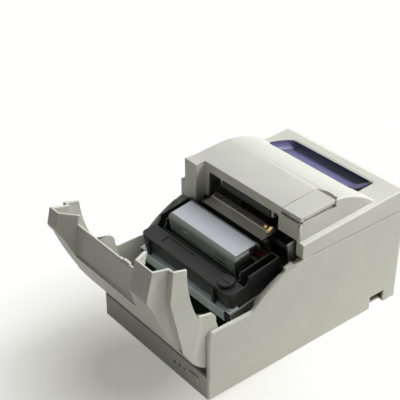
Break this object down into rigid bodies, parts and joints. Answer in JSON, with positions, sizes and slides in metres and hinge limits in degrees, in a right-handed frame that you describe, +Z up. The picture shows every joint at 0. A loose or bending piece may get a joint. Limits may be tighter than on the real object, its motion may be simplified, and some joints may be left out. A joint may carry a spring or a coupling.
{
  "type": "receipt printer",
  "caption": "Desktop impact receipt printer with a forward-opening front cover, humped roll cover, sloping print mechanism and lift-out ribbon cassette.",
  "frame": {"origin": "centre of the rest-pose footprint box, front cover open, on the table under the feet", "axes": "+X to the operator's right, +Y to the rear of the printer, +Z up"},
  "size_m": [0.1612, 0.3071, 0.1626],
  "materials": {
    "case_plastic": "fine moulded texture",
    "cover_plastic": "fine moulded texture",
    "black_plastic": "satin",
    "smoked_pane": "polished",
    "plate_metal": "zinc plated, matt",
    "hood_metal": "satin",
    "steel": "drawn bar",
    "roller_rubber": "ground",
    "foot_rubber": "matt",
    "gear_plastic": "satin",
    "board": "solder mask",
    "head_metal": "cast",
    "guide_metal": "bronze grey",
    "ribbon_cloth": "inked weave",
    "light_plastic": "clear tinted"
  },
  "bodies": {
    "case": {"lower_case": "case_plastic", "foot_front_left": "foot_rubber", "foot_front_right": "foot_rubber", "foot_rear_left": "foot_rubber", "foot_rear_right": "foot_rubber", "cover_pin_left": "case_plastic", "cover_pin_right": "case_plastic", "roll_pin_left": "steel", "roll_pin_right": "steel", "side_frame_left": "steel", "side_frame_right": "steel", "cassette_plate": "plate_metal", "head_cover": "hood_metal", "guide_shaft": "steel", "guide_rail": "steel", "platen": "black_plastic", "paper_guide": "guide_metal", "idler_pin": "steel", "feed_motor": "steel", "drive_housing": "black_plastic", "left_rest": "black_plastic", "cassette_base": "black_plastic", "paper_well": "black_plastic", "main_board": "board", "interface_board": "board", "rear_panel": "steel", "dc_inlet": "black_plastic", "drawer_jack": "black_plastic", "data_port": "steel", "switch_housing": "black_plastic", "status_lights": "light_plastic"},
    "front_cover": {"front_cover": "cover_plastic"},
    "feed_button": {"feed_button": "case_plastic"},
    "roll_cover": {"roll_cover": "cover_plastic", "roll_window": "smoked_pane", "tear_bar": "steel", "lever_pin": "steel"},
    "open_lever": {"open_lever": "cover_plastic"},
    "exit_roller": {"exit_roller": "roller_rubber"},
    "cassette": {"cassette_tray": "black_plastic", "cassette_lid": "black_plastic", "ribbon": "ribbon_cloth"},
    "ribbon_knob": {"ribbon_knob": "black_plastic"},
    "carriage": {"carriage": "black_plastic", "print_head": "head_metal"},
    "feed_roller": {"feed_roller": "roller_rubber", "feed_gear": "gear_plastic"},
    "idler_gear": {"idler_gear": "gear_plastic"},
    "pinion": {"motor_pinion": "gear_plastic", "motor_shaft": "steel"},
    "ribbon_spindle": {"ribbon_spindle": "gear_plastic"},
    "power_switch": {"power_switch": "black_plastic"}
  },
  "joints": [
    {"name": "front_cover_hinge", "type": "hinge", "parent": "case", "child": "front_cover", "pos_m": [0, -0.08345, 0.048], "axis": [1, 0, 0], "range_deg": [-76, 0]},
    {"name": "roll_cover_hinge", "type": "hinge", "parent": "case", "child": "roll_cover", "pos_m": [0, 0.14855, 0.1062], "axis": [-1, 0, 0], "range_deg": [0, 85]},
    {"name": "open_lever_pivot", "type": "hinge", "parent": "roll_cover", "child": "open_lever", "pos_m": [0, 0.01955, 0.144], "axis": [1, 0, 0], "range_deg": [0, 18], "stiffness_Nm_per_rad": 0.05},
    {"name": "exit_roller_spin", "type": "hinge", "parent": "roll_cover", "child": "exit_roller", "pos_m": [0, 0.01895, 0.1306], "axis": [1, 0, 0], "continuous": true},
    {"name": "feed_button_press", "type": "slide", "parent": "case", "child": "feed_button", "axis": [0, 1, 0], "range_m": [0, 0.001], "stiffness_N_per_m": 400},
    {"name": "cassette_lift", "type": "slide", "parent": "case", "child": "cassette", "axis": [0, -0.1564, 0.9877], "range_m": [0, 0.12]},
    {"name": "ribbon_knob_spin", "type": "hinge", "parent": "cassette", "child": "ribbon_knob", "pos_m": [0.05, -0.04965, 0.09333], "axis": [0, -0.1564, 0.9877], "continuous": true},
    {"name": "ribbon_spindle_spin", "type": "hinge", "parent": "case", "child": "ribbon_spindle", "pos_m": [0.05, -0.04746, 0.0795], "axis": [0, -0.1564, 0.9877], "continuous": true},
    {"name": "carriage_slide", "type": "slide", "parent": "case", "child": "carriage", "axis": [1, 0, 0], "range_m": [-0.062, 0]},
    {"name": "feed_roller_spin", "type": "hinge", "parent": "case", "child": "feed_roller", "pos_m": [0, 0.01621, 0.10578], "axis": [1, 0, 0], "continuous": true},
    {"name": "idler_gear_spin", "type": "hinge", "parent": "case", "child": "idler_gear", "pos_m": [-0.0692, 0.0194, 0.08563], "axis": [1, 0, 0], "continuous": true},
    {"name": "pinion_spin", "type": "hinge", "parent": "case", "child": "pinion", "pos_m": [-0.0692, 0.02181, 0.07042], "axis": [1, 0, 0], "continuous": true},
    {"name": "power_switch_rock", "type": "hinge", "parent": "case", "child": "power_switch", "pos_m": [-0.074, -0.01195, 0.04], "axis": [0, 1, 0], "range_deg": [-4, 4]}
  ],
  "couplings": [
    {"joint": "idler_gear_spin", "follows": "feed_roller_spin", "ratio": -1.2222},
    {"joint": "pinion_spin", "follows": "feed_roller_spin", "ratio": 1.8333},
    {"joint": "ribbon_knob_spin", "follows": "ribbon_spindle_spin", "ratio": 1}
  ]
}
